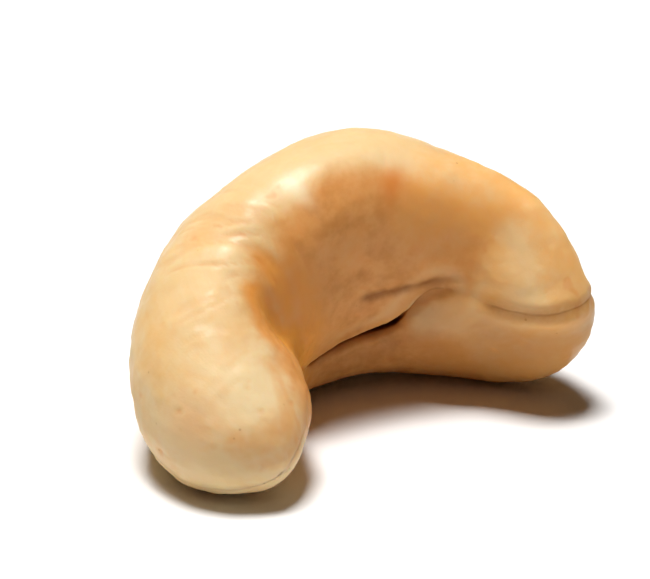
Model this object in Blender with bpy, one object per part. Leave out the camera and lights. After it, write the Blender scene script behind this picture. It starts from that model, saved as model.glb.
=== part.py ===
"""A fried cashew nut: one seed, a thick crescent with two blunt horns and a seam where its two halves meet.

The crescent is modelled lying in its own XY plane, as rings of points along a curved spine. It is then turned
until it rests on three low points of its flank, which are flattened a little. +X runs from the wide horn to
the narrow one, +Y points to the rounded back and +Z is up.
"""

import math

import bmesh
import bpy
import numpy as np
from mathutils import Matrix, Vector, noise

MM = 0.001

# The spine, which runs through the middle of the crescent from the wide horn to the narrow one, in millimetres
SPINE_LENGTH = 31.1
WIDE_HORN_TURN = math.radians(96)  # how far the spine has turned at each tip, from the middle
NARROW_HORN_TURN = math.radians(81)
BEND_FOCUS = 0.865  # higher puts more of the bend in the middle and leaves the horns straighter
BEND_CENTRE = -0.21  # where the bend is sharpest, from -1 at the wide horn's tip to 1 at the narrow one's
WIDE_HORN_LIFT = 0.65  # how far each tip leaves the crescent's plane, upwards
NARROW_HORN_LIFT = 1.85
WIDE_HORN_TWIST = math.radians(-27)  # how far each tip is twisted round the spine
NARROW_HORN_TWIST = math.radians(-7)
SPINE_STEPS = 1200  # how finely the spine is followed

# The section across the spine, in millimetres
BACK_HALF_WIDTH = 4.78  # from the spine to the rounded back
CROOK_HALF_WIDTH = 4.41  # from the spine to the wall of the crook, which is flatter
HALF_THICKNESS = 6.88
BACK_ROUNDNESS = 2.08  # exponents of the section's curve: 2 is an ellipse, higher is squarer
CROOK_ROUNDNESS = 2.27
WIDE_HORN_WIDTH = 0.96  # the horns' width and thickness, as shares of the middle's
WIDE_HORN_THICKNESS = 0.466
NARROW_HORN_WIDTH = 0.565
NARROW_HORN_THICKNESS = 0.936
WIDE_HORN_UPPER = 1.13  # thickness of the upper half, as a share of half the whole, at the two horns and the middle
MIDDLE_UPPER = 1.15
NARROW_HORN_UPPER = 0.91
WIDE_HORN_CAP = 7.3  # length of each horn's round end
NARROW_HORN_CAP = 7.8
WIDE_HORN_BLUNTNESS = 2.03  # 2 ends the horn as an ellipsoid, higher makes the tip blunter
NARROW_HORN_BLUNTNESS = 2.2
WAIST_PLACE = -0.42  # the wide horn is slimmer at its elbow than at its tip
WAIST_REACH = 0.22
WAIST_DEPTH = 0.074
HORN_CROOK_FULLNESS = 0.6  # how far the crook's side rounds out to the back's width towards the tips

# The seam between the halves, in millimetres: a soft valley with a narrow crack in it
VALLEY_HALF_WIDTH = 1.45
VALLEY_DEPTH = 0.24
CROOK_VALLEY_DEPTH = 0.62
VALLEY_REACH = 0.46
CRACK_HALF_WIDTH = 0.42
CRACK_DEPTH = 0.13
CROOK_CRACK_DEPTH = 0.58
CRACK_PLACE = 0.16  # where along the spine the crook's crack is open widest, and how far that reaches
CRACK_REACH = 0.24
# The crook's seam wanders: places along the spine, with its height over the middle of the section there
CROOK_SEAM_PLACES = (-1.0, -0.55, -0.30, 0.22, 0.36, 0.50, 0.60, 0.76, 1.0)
CROOK_SEAM_HEIGHTS = (-0.4, -1.30, -1.65, -1.42, -0.90, 1.25, 1.50, 0.70, 0.0)
SEAM_TREMOR = 0.08
SEAM_TREMOR_TURNS = 17.0

# Broad lumps and finer wrinkles left by drying and frying, in millimetres
LUMP_SIZE = 7.5
LUMP_HEIGHT = 0.34
WRINKLE_SIZE = 2.6
WRINKLE_HEIGHT = 0.09
RELIEF_OFFSET = 11.0  # picks the part of the noise that the lumps come from

# Single marks: place along the spine from -1 to 1, degrees round the section from the back, half-width along
# and across the spine in millimetres, and height, which is below zero for a dent
MARKS = {
    "shoulder hump": (0.24, 68, 4.4, 4.4, 0.74),
    "shoulder dip": (0.475, 25, 2.2, 3.6, -0.50),
    "elbow hump": (-0.48, 6, 3.4, 3.8, 0.20),
    "cheek dent": (-0.85, -22, 3.0, 3.6, -0.12),
    "horn dent": (0.84, 36, 3.0, 3.2, -0.20),
    "wall hollow": (0.12, 150, 4.8, 2.6, -0.40),
    "germ": (0.93, 180, 1.3, 1.0, 0.40),
    "wide crown": (-0.87, 86, 2.4, 2.3, 0.36),
    "elbow hollow": (-0.50, 146, 1.9, 1.9, -0.75),
    "wide cheek": (-0.92, 205, 2.6, 3.2, 0.45),
    "narrow cheek": (0.92, 245, 2.4, 2.6, 0.40),
    "horn hollow": (0.56, 130, 2.8, 2.4, -0.30),
    "narrow edge": (0.84, 168, 2.6, 2.2, 1.10),
    "narrow brow": (0.84, 104, 2.6, 1.6, -0.35),
    "lower lip": (0.56, 192, 2.8, 1.5, 0.50),
}

# Shallow creases that cross the elbow of the wide horn on its crook side, in millimetres
CREASE_PLACES = (-0.60, -0.46, -0.33)
CREASE_HALF_WIDTH = 0.5
CREASE_DEPTH = 0.13
CREASE_MIDDLE = math.radians(118)
CREASE_REACH = math.radians(38)
CREASE_FAN = 0.5  # how far a crease runs sideways for each radian round the section

# How finely the skin is divided, and how much the resting points are flattened in millimetres
RINGS = 72
RING_EVENNESS = 5  # higher spaces the rings more evenly, and crowds them only close to the tips
COLUMNS = 60
SEAM_CROWDING = 0.62  # 0 spaces the columns evenly, towards 1 crowds them at the seam
FLAT_SPOT_DEPTH = 0.07

# The look of the skin
SKIN_COLOUR = (0.80, 0.54, 0.27, 1.0)
SKIN_ROUGHNESS = 0.42


def smoothstep(x):
    x = np.clip(x, 0.0, 1.0)
    return x * x * (3.0 - 2.0 * x)


def between_horns(t, wide, narrow):
    """Passes smoothly from the wide horn's value to the narrow horn's."""
    return wide + (narrow - wide) * smoothstep(t + 0.5)


def spine_heading(t):
    """The spine's direction in the crescent's plane, clockwise from +X."""
    bend = np.array([math.erf(BEND_FOCUS * (place - BEND_CENTRE)) for place in t])
    return between_horns(t, WIDE_HORN_TURN, NARROW_HORN_TURN) * bend / math.erf(BEND_FOCUS)


def spine(t):
    """Centres, outward directions and upward directions of the sections at the places t."""
    fine = np.linspace(-1.0, 1.0, SPINE_STEPS + 1)
    heading = spine_heading(fine)
    along = np.stack([np.cos(heading), -np.sin(heading)], axis=1)
    steps = (along[1:] + along[:-1]) / 2 * SPINE_LENGTH / SPINE_STEPS
    path = np.concatenate([np.zeros((1, 2)), np.cumsum(steps, axis=0)])
    path -= path[SPINE_STEPS // 2]
    lift = between_horns(t, WIDE_HORN_LIFT, NARROW_HORN_LIFT)
    centres = np.stack([np.interp(t, fine, path[:, 0]), np.interp(t, fine, path[:, 1]), lift * t * t], axis=1)
    turned = np.interp(t, fine, heading)
    slope = 2.0 * lift * t / (SPINE_LENGTH / 2)
    tangent = np.stack([np.cos(turned), -np.sin(turned), slope], axis=1)
    outward = np.stack([np.sin(turned), np.cos(turned), np.zeros_like(t)], axis=1)
    upward = np.cross(tangent, outward)
    upward /= np.linalg.norm(upward, axis=1, keepdims=True)
    twist = (between_horns(t, WIDE_HORN_TWIST, NARROW_HORN_TWIST) * smoothstep(np.abs(t)))[:, None]
    return (
        centres,
        outward * np.cos(twist) + upward * np.sin(twist),
        upward * np.cos(twist) - outward * np.sin(twist),
    )


def round_end(distance, cap, bluntness):
    """Shares of the full section at these distances from a tip, for a round end of length cap."""
    inward = 1.0 - np.clip(distance / cap, 0.0, 1.0)
    return (1.0 - inward**bluntness) ** (1.0 / bluntness)


def horn_shares(t):
    """Width and thickness at the places t, as shares of the middle's."""
    towards_tip = smoothstep(np.abs(t))
    width = 1.0 - towards_tip * (1.0 - np.where(t < 0, WIDE_HORN_WIDTH, NARROW_HORN_WIDTH))
    width = width - WAIST_DEPTH * np.exp(-(((t - WAIST_PLACE) / WAIST_REACH) ** 2))
    thickness = 1.0 - towards_tip * (1.0 - np.where(t < 0, WIDE_HORN_THICKNESS, NARROW_HORN_THICKNESS))
    half = SPINE_LENGTH / 2
    ends = round_end((1.0 + t) * half, WIDE_HORN_CAP, WIDE_HORN_BLUNTNESS)
    ends = ends * round_end((1.0 - t) * half, NARROW_HORN_CAP, NARROW_HORN_BLUNTNESS)
    return width * ends, thickness * ends


def section_radius(t, around, width, thickness):
    """Distance from the spine to the skin, in the direction that lies around radians from the back."""
    towards_tip = smoothstep(np.abs(t))
    backness = smoothstep((np.cos(around) + 1.0) / 2)
    crook = CROOK_HALF_WIDTH + (BACK_HALF_WIDTH - CROOK_HALF_WIDTH) * HORN_CROOK_FULLNESS * towards_tip
    half_width = (crook + (BACK_HALF_WIDTH - crook) * backness) * width
    at_tip = np.where(t < 0, WIDE_HORN_UPPER, NARROW_HORN_UPPER)
    upper = MIDDLE_UPPER + (at_tip - MIDDLE_UPPER) * towards_tip
    half_thickness = HALF_THICKNESS * thickness * np.where(np.sin(around) > 0, upper, 2.0 - upper)
    power = CROOK_ROUNDNESS + (BACK_ROUNDNESS - CROOK_ROUNDNESS) * backness
    sideways = np.abs(np.cos(around)) / half_width
    upwards = np.abs(np.sin(around)) / half_thickness
    return (sideways**power + upwards**power) ** (-1.0 / power)


def seam_shift(t):
    """How far the crook's seam lies above the middle of the section, in millimetres."""
    places, heights = np.array(CROOK_SEAM_PLACES), np.array(CROOK_SEAM_HEIGHTS)
    slopes = np.gradient(heights, places)
    low = np.clip(np.searchsorted(places, t, side="right") - 1, 0, len(places) - 2)
    gap = places[low + 1] - places[low]
    share = (t - places[low]) / gap
    curve = gap * share * (1.0 - share) * (slopes[low] * (1.0 - share) - slopes[low + 1] * share)
    rise = (heights[low + 1] - heights[low]) * smoothstep(share)
    return heights[low] + rise + curve + SEAM_TREMOR * np.sin(SEAM_TREMOR_TURNS * t)


def plain_crescent():
    """The crescent without its relief, as a dictionary of arrays with a row for each ring."""
    even = 2.0 * np.arange(1, RINGS) / RINGS - 1.0
    t = (even - even**RING_EVENNESS / RING_EVENNESS) / (1.0 - 1.0 / RING_EVENNESS)
    turn = 2.0 * np.pi * np.arange(COLUMNS) / COLUMNS
    from_back = (turn - SEAM_CROWDING * np.sin(2.0 * turn) / 2)[None, :]
    width, thickness = horn_shares(t)
    shift = seam_shift(t) * smoothstep(np.minimum(width, thickness)) / CROOK_HALF_WIDTH
    crookness = np.clip(-np.cos(from_back), 0.0, 1.0) ** 2
    around = from_back - shift[:, None] * crookness
    radius = section_radius(t[:, None], around, width[:, None], thickness[:, None])
    centres, outward, upward = spine(t)
    sideways = outward[:, None] * (radius * np.cos(around))[..., None]
    upwards = upward[:, None] * (radius * np.sin(around))[..., None]
    return {
        "t": t[:, None],
        "from_back": from_back,
        "around": around,
        "radius": radius,
        "rings": centres[:, None] + sideways + upwards,
        "tips": spine(np.array([-1.0, 1.0]))[0],
    }


def outward_directions(rings, tips):
    """Unit directions out of the skin at the rings' points, then at the two tips."""
    first = np.repeat(tips[None, :1], COLUMNS, axis=1)
    last = np.repeat(tips[None, 1:], COLUMNS, axis=1)
    closed = np.concatenate([first, rings, last])
    across = np.roll(rings, -1, axis=1) - np.roll(rings, 1, axis=1)
    directions = np.cross(across, closed[2:] - closed[:-2])
    directions /= np.linalg.norm(directions, axis=2, keepdims=True)
    at_tips = tips - np.stack([rings[0].mean(axis=0), rings[-1].mean(axis=0)])
    return directions, at_tips / np.linalg.norm(at_tips, axis=1, keepdims=True)


def groove(away, valley_depth, crack_depth):
    """Depth of the seam at these distances from its line, as a height below zero."""
    valley = valley_depth * np.exp(-((away / VALLEY_HALF_WIDTH) ** 2))
    crack = crack_depth * np.clip(1.0 - away / CRACK_HALF_WIDTH, 0.0, 1.0)
    return -valley - crack


def seam_relief(crescent):
    """The seam along the back and along the crook, which become alike where they meet at the tips."""
    t, from_back, radius = crescent["t"], crescent["from_back"], crescent["radius"]
    sunken = np.exp(-(((t - CRACK_PLACE) / VALLEY_REACH) ** 2))
    crook_valley = VALLEY_DEPTH + (CROOK_VALLEY_DEPTH - VALLEY_DEPTH) * sunken
    wide_open = np.exp(-(((t - CRACK_PLACE) / CRACK_REACH) ** 2))
    crook_crack = CRACK_DEPTH + (CROOK_CRACK_DEPTH - CRACK_DEPTH) * wide_open
    from_back_seam = radius * np.abs((from_back + np.pi) % (2.0 * np.pi) - np.pi)
    from_crook_seam = radius * np.abs(from_back - np.pi)
    on_back = np.cos(from_back) > 0
    return np.where(
        on_back,
        groove(from_back_seam, VALLEY_DEPTH, CRACK_DEPTH),
        groove(from_crook_seam, crook_valley, crook_crack),
    )


def marks_relief(crescent):
    """The single humps and dents, each a soft round bump."""
    relief = 0.0
    for place, turned, along_size, across_size, height in MARKS.values():
        along = (crescent["t"] - place) * SPINE_LENGTH / 2
        turn_off = (crescent["around"] - math.radians(turned) + np.pi) % (2.0 * np.pi) - np.pi
        across = crescent["radius"] * turn_off
        relief = relief + height * np.exp(-((along / along_size) ** 2) - (across / across_size) ** 2)
    return relief


def crease_relief(crescent):
    """The creases across the elbow of the wide horn, which fan out from the crook."""
    turn_off = crescent["around"] - CREASE_MIDDLE
    reach = np.exp(-((turn_off / CREASE_REACH) ** 2))
    relief = 0.0
    for place in CREASE_PLACES:
        along = (crescent["t"] - place) * SPINE_LENGTH / 2 + CREASE_FAN * turn_off
        relief = relief - CREASE_DEPTH * np.exp(-((along / CREASE_HALF_WIDTH) ** 2)) * reach
    return relief


def lump_height(point):
    """Height of the broad lumps and finer wrinkles at one point of the skin."""
    broad = noise.noise(Vector(point) / LUMP_SIZE + Vector((RELIEF_OFFSET, 0.0, 0.0)))
    fine = noise.noise(Vector(point) / WRINKLE_SIZE + Vector((0.0, RELIEF_OFFSET, 0.0)))
    return LUMP_HEIGHT * broad + WRINKLE_HEIGHT * fine


def kernel_points():
    """All points of the skin in millimetres: one tip, the rings, then the other tip."""
    crescent = plain_crescent()
    rings, tips = crescent["rings"], crescent["tips"]
    directions, at_tips = outward_directions(rings, tips)
    relief = seam_relief(crescent) + marks_relief(crescent) + crease_relief(crescent)
    relief = relief + np.array([[lump_height(point) for point in ring] for ring in rings])
    rings = rings + directions * relief[..., None]
    tip_relief = np.array([relief[0].mean(), relief[-1].mean()]) - CRACK_DEPTH / 2
    tips = tips + at_tips * tip_relief[:, None]
    return np.concatenate([tips[:1], rings.reshape(-1, 3), tips[1:]])


def kernel_skin():
    """The skin as one closed mesh: four-sided faces between the rings and a fan at each tip."""
    skin = bmesh.new()
    corners = [skin.verts.new(point * MM) for point in kernel_points()]
    rings = [corners[1 + ring * COLUMNS : 1 + (ring + 1) * COLUMNS] for ring in range(RINGS - 1)]
    for column in range(COLUMNS):
        beside = (column + 1) % COLUMNS
        skin.faces.new((corners[0], rings[0][beside], rings[0][column]))
        skin.faces.new((corners[-1], rings[-1][column], rings[-1][beside]))
        for low, high in zip(rings, rings[1:]):
            skin.faces.new((low[column], low[beside], high[beside], high[column]))
    bmesh.ops.recalc_face_normals(skin, faces=skin.faces)
    bmesh.ops.triangulate(skin, faces=skin.faces, quad_method="SHORT_EDGE")
    return skin


def weight_centre(skin):
    """The centre of the solid inside a closed skin of triangles."""
    corners = np.array([[vertex.co for vertex in face.verts] for face in skin.faces])
    volumes = np.einsum("ij,ij->i", corners[:, 0], np.cross(corners[:, 1], corners[:, 2]))
    return Vector(np.average(corners.mean(axis=1) * 3 / 4, axis=0, weights=volumes))


def holds_weight(face, centre):
    """Whether the point below the weight centre lies inside a triangle that the kernel stands on."""
    ends = [vertex.co for vertex in face.verts]
    return all(
        (after - before).cross(centre - before).dot(face.normal) > 0
        for before, after in zip(ends, ends[1:] + ends[:1])
    )


def resting_side(skin):
    """The direction out of the lowest side of the convex hull that the kernel can rest on."""
    hull = bmesh.new()
    for vertex in skin.verts:
        hull.verts.new(vertex.co)
    made = bmesh.ops.convex_hull(hull, input=hull.verts)
    sides = [face for face in made["geom"] if isinstance(face, bmesh.types.BMFace)]
    bmesh.ops.recalc_face_normals(hull, faces=sides)
    centre = weight_centre(skin)
    stable = [face for face in sides if holds_weight(face, centre)]
    down = min(stable, key=lambda face: face.normal.z).normal.copy()
    hull.free()
    return down


def settle(skin):
    """Turns the kernel onto its resting side, flattens the points it rests on and centres it on the origin."""
    turn = resting_side(skin).rotation_difference(Vector((0.0, 0.0, -1.0)))
    bmesh.ops.rotate(skin, verts=skin.verts, matrix=turn.to_matrix())
    skin.verts.ensure_lookup_table()
    chord = skin.verts[-1].co - skin.verts[0].co
    level = Matrix.Rotation(-math.atan2(chord.y, chord.x), 3, "Z")
    bmesh.ops.rotate(skin, verts=skin.verts, matrix=level)
    points = np.array([vertex.co for vertex in skin.verts])
    low, high = points.min(axis=0), points.max(axis=0)
    middle = Vector(((low[0] + high[0]) / 2, (low[1] + high[1]) / 2, low[2] + FLAT_SPOT_DEPTH * MM))
    bmesh.ops.translate(skin, verts=skin.verts, vec=-middle)
    for vertex in skin.verts:
        vertex.co.z = max(vertex.co.z, 0.0)


def skin_material():
    """Pale golden, a little glossy with frying oil."""
    material = bpy.data.materials.new("fried_seed")
    material.use_nodes = True
    shader = material.node_tree.nodes["Principled BSDF"]
    shader.inputs["Base Color"].default_value = SKIN_COLOUR
    shader.inputs["Roughness"].default_value = SKIN_ROUGHNESS
    shader.inputs["Metallic"].default_value = 0.0
    return material


def build_kernel():
    """The whole nut, one solid."""
    skin = kernel_skin()
    settle(skin)
    mesh = bpy.data.meshes.new("kernel")
    skin.to_mesh(mesh)
    skin.free()
    mesh.shade_smooth()
    mesh.materials.append(skin_material())
    kernel = bpy.data.objects.new("kernel", mesh)
    bpy.context.scene.collection.objects.link(kernel)
    return kernel


for thing in list(bpy.data.objects):
    bpy.data.objects.remove(thing)
build_kernel()
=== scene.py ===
# %% [markdown]
# # A fried cashew nut
#
# A cashew kernel is one seed: a thick crescent, about 24 mm long, of two halves that lie against each
# other. Frying in oil turns its ivory skin golden, browner in the crook and along the seam, and leaves
# fine wrinkles, small pits and a thin shine of oil.
#
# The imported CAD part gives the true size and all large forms. This script keeps them, divides the skin
# more finely, adds the small relief with Geometry Nodes and paints it with a node material.

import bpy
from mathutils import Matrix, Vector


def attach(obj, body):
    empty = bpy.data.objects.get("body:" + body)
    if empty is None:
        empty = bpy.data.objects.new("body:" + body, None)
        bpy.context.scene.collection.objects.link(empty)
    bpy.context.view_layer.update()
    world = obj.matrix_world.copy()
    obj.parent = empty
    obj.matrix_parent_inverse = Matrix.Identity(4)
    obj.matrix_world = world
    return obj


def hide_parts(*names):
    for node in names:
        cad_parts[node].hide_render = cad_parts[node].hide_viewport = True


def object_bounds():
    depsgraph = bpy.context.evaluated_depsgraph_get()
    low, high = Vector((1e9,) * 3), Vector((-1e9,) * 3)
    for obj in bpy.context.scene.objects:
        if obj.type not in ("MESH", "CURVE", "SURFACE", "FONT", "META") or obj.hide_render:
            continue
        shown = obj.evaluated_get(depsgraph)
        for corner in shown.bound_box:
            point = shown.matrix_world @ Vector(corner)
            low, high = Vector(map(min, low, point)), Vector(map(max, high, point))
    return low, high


MM = 0.001

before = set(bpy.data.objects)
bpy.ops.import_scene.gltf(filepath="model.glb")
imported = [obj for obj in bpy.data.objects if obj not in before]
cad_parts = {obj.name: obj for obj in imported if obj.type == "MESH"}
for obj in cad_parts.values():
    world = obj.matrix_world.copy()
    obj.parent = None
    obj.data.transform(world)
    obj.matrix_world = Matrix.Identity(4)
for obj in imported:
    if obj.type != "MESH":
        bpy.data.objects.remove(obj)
cad_low, cad_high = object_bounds()
print("CAD box in mm:", [round(value / MM, 2) for value in (*cad_low, *cad_high)])

# %% Modules
import math

import bmesh
import bpy
import numpy as np
from mathutils import Vector

# %% [markdown]
# ## The camera comes first
#
# The photograph was taken from the left of the nut's front and from a little above, so the wide horn
# comes towards the viewer and the crook is seen under the raised back. A macro picture could be taken
# with a short lens from close by, but that would swell the near horn. A long lens from further away
# keeps the horn and the back at nearly the same scale, as the photograph has them.

# %% Place the camera
CAMERA_LEFT = math.radians(35.3)
CAMERA_HEIGHT = math.radians(25.5)
LENS_MM = 400.0
SENSOR_MM = 36.0
SEEN_WIDTH = 32.5 * MM
AIM_LOWER = 0.4 * MM

middle = (cad_low + cad_high) / 2
towards_camera = Vector(
    (
        -math.sin(CAMERA_LEFT) * math.cos(CAMERA_HEIGHT),
        -math.cos(CAMERA_LEFT) * math.cos(CAMERA_HEIGHT),
        math.sin(CAMERA_HEIGHT),
    )
)
camera_data = bpy.data.cameras.new("camera")
camera_data.lens = LENS_MM
camera_data.sensor_width = SENSOR_MM
camera = bpy.data.objects.new("camera", camera_data)
aim = middle - Vector((0.0, 0.0, AIM_LOWER))
camera.location = aim + towards_camera * SEEN_WIDTH * LENS_MM / SENSOR_MM
camera.rotation_euler = towards_camera.to_track_quat("Z", "Y").to_euler()
bpy.context.scene.collection.objects.link(camera)
bpy.context.scene.camera = camera
print("camera distance in mm:", round((camera.location - aim).length / MM, 1))

# %% [markdown]
# ## A clean copy of the skin
#
# The CAD node is a heap of loose triangles, which subdivision would tear apart. It must stay as it is,
# so the work is done on a copy: doubled points are merged, and pairs of triangles are joined back to
# four-sided faces, which subdivide without pinching.

# %% Merge a copy of the CAD skin
MERGE_DISTANCE = 1e-7
FLATNESS = math.radians(60)


def merged_copy(node, name):
    """A new mesh with the node's shape, whose points are shared and whose faces are mostly four-sided."""
    skin = bmesh.new()
    skin.from_mesh(node.data)
    bmesh.ops.remove_doubles(skin, verts=skin.verts, dist=MERGE_DISTANCE)
    bmesh.ops.join_triangles(
        skin, faces=skin.faces, angle_face_threshold=FLATNESS, angle_shape_threshold=FLATNESS
    )
    mesh = bpy.data.meshes.new(name)
    skin.to_mesh(mesh)
    skin.free()
    return mesh


kernel_mesh = merged_copy(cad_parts["kernel"], "kernel_skin")
print("merged skin:", len(kernel_mesh.vertices), "points,", len(kernel_mesh.polygons), "faces")

# %% [markdown]
# ## Finding the seam
#
# The seam runs all the way round the crescent as a narrow groove. Its line could be drawn again by
# hand, but then it would drift off the groove whenever the part changes. The bottom of the groove is
# the only place where the skin folds inwards sharply, so its edges are found by their angle instead.

# %% Find the edges at the bottom of the groove
SEAM_FOLD = math.radians(24)
LEAST_SEAM_EDGES = 12


def chains(edges):
    """Groups edges that touch one another."""
    left = set(edges)
    while left:
        chain = set()
        ahead = {left.pop()}
        while ahead:
            edge = ahead.pop()
            chain.add(edge)
            touching = {other for corner in edge.verts for other in corner.link_edges} & left
            left -= touching
            ahead |= touching
        yield chain


def without_spurs(chain):
    """The edges of a chain that go on at both ends."""
    return {edge for edge in chain if all(len(set(corner.link_edges) & chain) > 1 for corner in edge.verts)}


def folded_edges(mesh, least_angle, least_count):
    """Which edges belong to a long chain where the skin folds inwards at least this sharply."""
    skin = bmesh.new()
    skin.from_mesh(mesh)
    shared = [edge for edge in skin.edges if len(edge.link_faces) == 2]
    folds = [edge for edge in shared if edge.calc_face_angle_signed() < -least_angle]
    found = np.zeros(len(skin.edges), dtype=bool)
    for chain in chains(folds):
        if len(chain) >= least_count:
            found[[edge.index for edge in without_spurs(chain)]] = True
    skin.free()
    return found


seam_edges = folded_edges(kernel_mesh, SEAM_FOLD, LEAST_SEAM_EDGES)
kernel_mesh.attributes.new("seam", "BOOLEAN", "EDGE").data.foreach_set("value", seam_edges)
print("edges on the seam:", int(seam_edges.sum()))

# %% [markdown]
# ## The crescent's own directions
#
# Wrinkles, fibres and browning follow the nut, not the table: they run along the crescent, or round its
# thickness. The seam lies nearly in one plane, so that plane and a circle through it give each point
# three numbers in millimetres: how far along the crescent it lies, how far out from the crook's
# centre, and how far over the seam. Geometry Nodes and the material both read them. Each point also
# gets the direction away from the crook's centre, which tells the wall of the crook from the back.

# %% Measure every point along, across and over the seam
def seam_plane(mesh, edges):
    """The seam's points and middle, and unit directions along its chord, out to the back and over it."""
    points = np.array([vertex.co for vertex in mesh.vertices])
    ends = np.array([edge.vertices for edge in mesh.edges])[edges]
    line = points[np.unique(ends)]
    centre = line.mean(axis=0)
    # The points vary least across their plane, and that is the last direction of the decomposition
    over = np.linalg.svd(line - centre)[2][2]
    over = over * np.sign(over[2])
    chord = np.array([1.0, 0.0, 0.0]) - over * over[0]
    chord = chord / np.linalg.norm(chord)
    return line, centre, chord, np.cross(over, chord), over


def circle_through(flat_points):
    """Centre and radius of the circle that fits points of a plane best."""
    rows = np.column_stack([2 * flat_points, np.ones(len(flat_points))])
    found = np.linalg.lstsq(rows, (flat_points**2).sum(axis=1), rcond=None)[0]
    return found[:2], math.sqrt(found[2] + (found[:2] ** 2).sum())


seam_line, seam_middle, chord_way, back_way, over_way = seam_plane(kernel_mesh, seam_edges)
flat_seam = np.column_stack([(seam_line - seam_middle) @ chord_way, (seam_line - seam_middle) @ back_way])
crook_centre, bend_radius = circle_through(flat_seam)
print("bend radius in mm:", round(bend_radius / MM, 2), "crook centre:", np.round(crook_centre / MM, 2))

# %% Store the numbers and the direction on the points
def keep_vectors(mesh, name, vectors):
    """Stores one vector for each point of a mesh."""
    attribute = mesh.attributes.new(name, "FLOAT_VECTOR", "POINT")
    attribute.data.foreach_set("vector", vectors.astype(np.float32).ravel())


points = np.array([vertex.co for vertex in kernel_mesh.vertices]) - seam_middle
beside = points @ chord_way - crook_centre[0]
backward = points @ back_way - crook_centre[1]
from_centre = np.hypot(beside, backward)
bend = np.arctan2(beside, backward) * bend_radius
flow = np.column_stack([bend, from_centre - bend_radius, points @ over_way]) / MM
keep_vectors(kernel_mesh, "flow", flow)
outward = np.outer(beside / from_centre, chord_way) + np.outer(backward / from_centre, back_way)
keep_vectors(kernel_mesh, "outward", outward)
print("flow from", np.round(flow.min(axis=0), 1), "to", np.round(flow.max(axis=0), 1), "mm")

# %% [markdown]
# ## Writing node trees as sums
#
# A relief or a colour mask is a formula, and a formula is hard to read as a long list of nodes and
# links. This small class wraps one output of a node, so that plus, minus, times and the rest add the
# Math nodes by themselves. It serves the geometry tree and the material alike.

# %% A socket that can be used in sums
class Wire:
    """One output of a node, which can be added, multiplied and so on with numbers and other outputs."""

    def __init__(self, graph, socket):
        self.graph = graph
        self.socket = socket

    def __add__(self, other):
        return self.graph.maths("ADD", self, other)

    def __sub__(self, other):
        return self.graph.maths("SUBTRACT", self, other)

    def __rsub__(self, other):
        return self.graph.maths("SUBTRACT", other, self)

    def __mul__(self, other):
        return self.graph.maths("MULTIPLY", self, other)

    def __truediv__(self, other):
        return self.graph.maths("DIVIDE", self, other)

    def __neg__(self):
        return self.graph.maths("MULTIPLY", self, -1.0)

    def __abs__(self):
        return self.graph.maths("ABSOLUTE", self)

    __radd__ = __add__
    __rmul__ = __mul__


# %% A node tree that is built from Python
class Graph:
    """A node tree, for a material or for Geometry Nodes."""

    def __init__(self, tree):
        self.tree = tree

    def node(self, kind, settings=None, values=None, output=0):
        """Adds a node, sets its settings and then its sockets, and returns one of its outputs."""
        made = self.tree.nodes.new(kind)
        for name, setting in (settings or {}).items():
            setattr(made, name, setting)
        for name, value in (values or {}).items():
            if isinstance(value, Wire):
                self.tree.links.new(value.socket, made.inputs[name])
            else:
                made.inputs[name].default_value = value
        return Wire(self, made.outputs[output]) if made.outputs else None

    def beside(self, wire, output):
        """Another output of the node that a wire comes from."""
        return Wire(self, wire.socket.node.outputs[output])

    def maths(self, operation, first, second=None):
        """A Math node on one or two values."""
        values = {0: first} if second is None else {0: first, 1: second}
        return self.node("ShaderNodeMath", {"operation": operation}, values)

    def vector_maths(self, operation, first, second):
        """A Vector Math node on two vectors."""
        return self.node("ShaderNodeVectorMath", {"operation": operation}, {0: first, 1: second})

    def stretched(self, vector, factors):
        """A vector with each of its three numbers multiplied by its own factor."""
        return self.vector_maths("MULTIPLY", vector, factors)

    def parts(self, vector):
        """The three numbers of a vector."""
        first = self.node("ShaderNodeSeparateXYZ", values={0: vector})
        return first, self.beside(first, 1), self.beside(first, 2)

    def step(self, value, start, end):
        """Goes smoothly from 0 to 1 as the value goes from start to end, also where end is the lower."""
        if start > end:
            return 1.0 - self.step(value, end, start)
        ends = {0: value, 1: start, 2: end, 3: 0.0, 4: 1.0}
        return self.node("ShaderNodeMapRange", {"interpolation_type": "SMOOTHSTEP"}, ends)

    def hump(self, value, middle, reach):
        """A soft bump of height 1 where the value is at the middle, gone at about twice the reach."""
        away = (value - middle) / reach
        return self.maths("EXPONENT", -(away * away))

    def noise(self, vector, scale, detail=2.0, roughness=0.5, distortion=0.0):
        """Soft noise from 0 to 1."""
        values = {"Vector": vector, "Scale": scale, "Detail": detail}
        values.update({"Roughness": roughness, "Distortion": distortion})
        return self.node("ShaderNodeTexNoise", values=values)

    def swing(self, vector, scale, **kind):
        """Soft noise from about -0.5 to 0.5."""
        return self.noise(vector, scale, **kind) - 0.5

    def cells(self, vector, scale):
        """How far the nearest of many scattered points is, as a share of their spacing, and its colour."""
        cells = self.node("ShaderNodeTexVoronoi", values={"Vector": vector, "Scale": scale})
        return self.beside(cells, "Distance"), self.beside(cells, "Color")

    def clamp(self, value):
        """The value, but never below 0 or above 1."""
        return self.node("ShaderNodeClamp", values={0: value})


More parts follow.
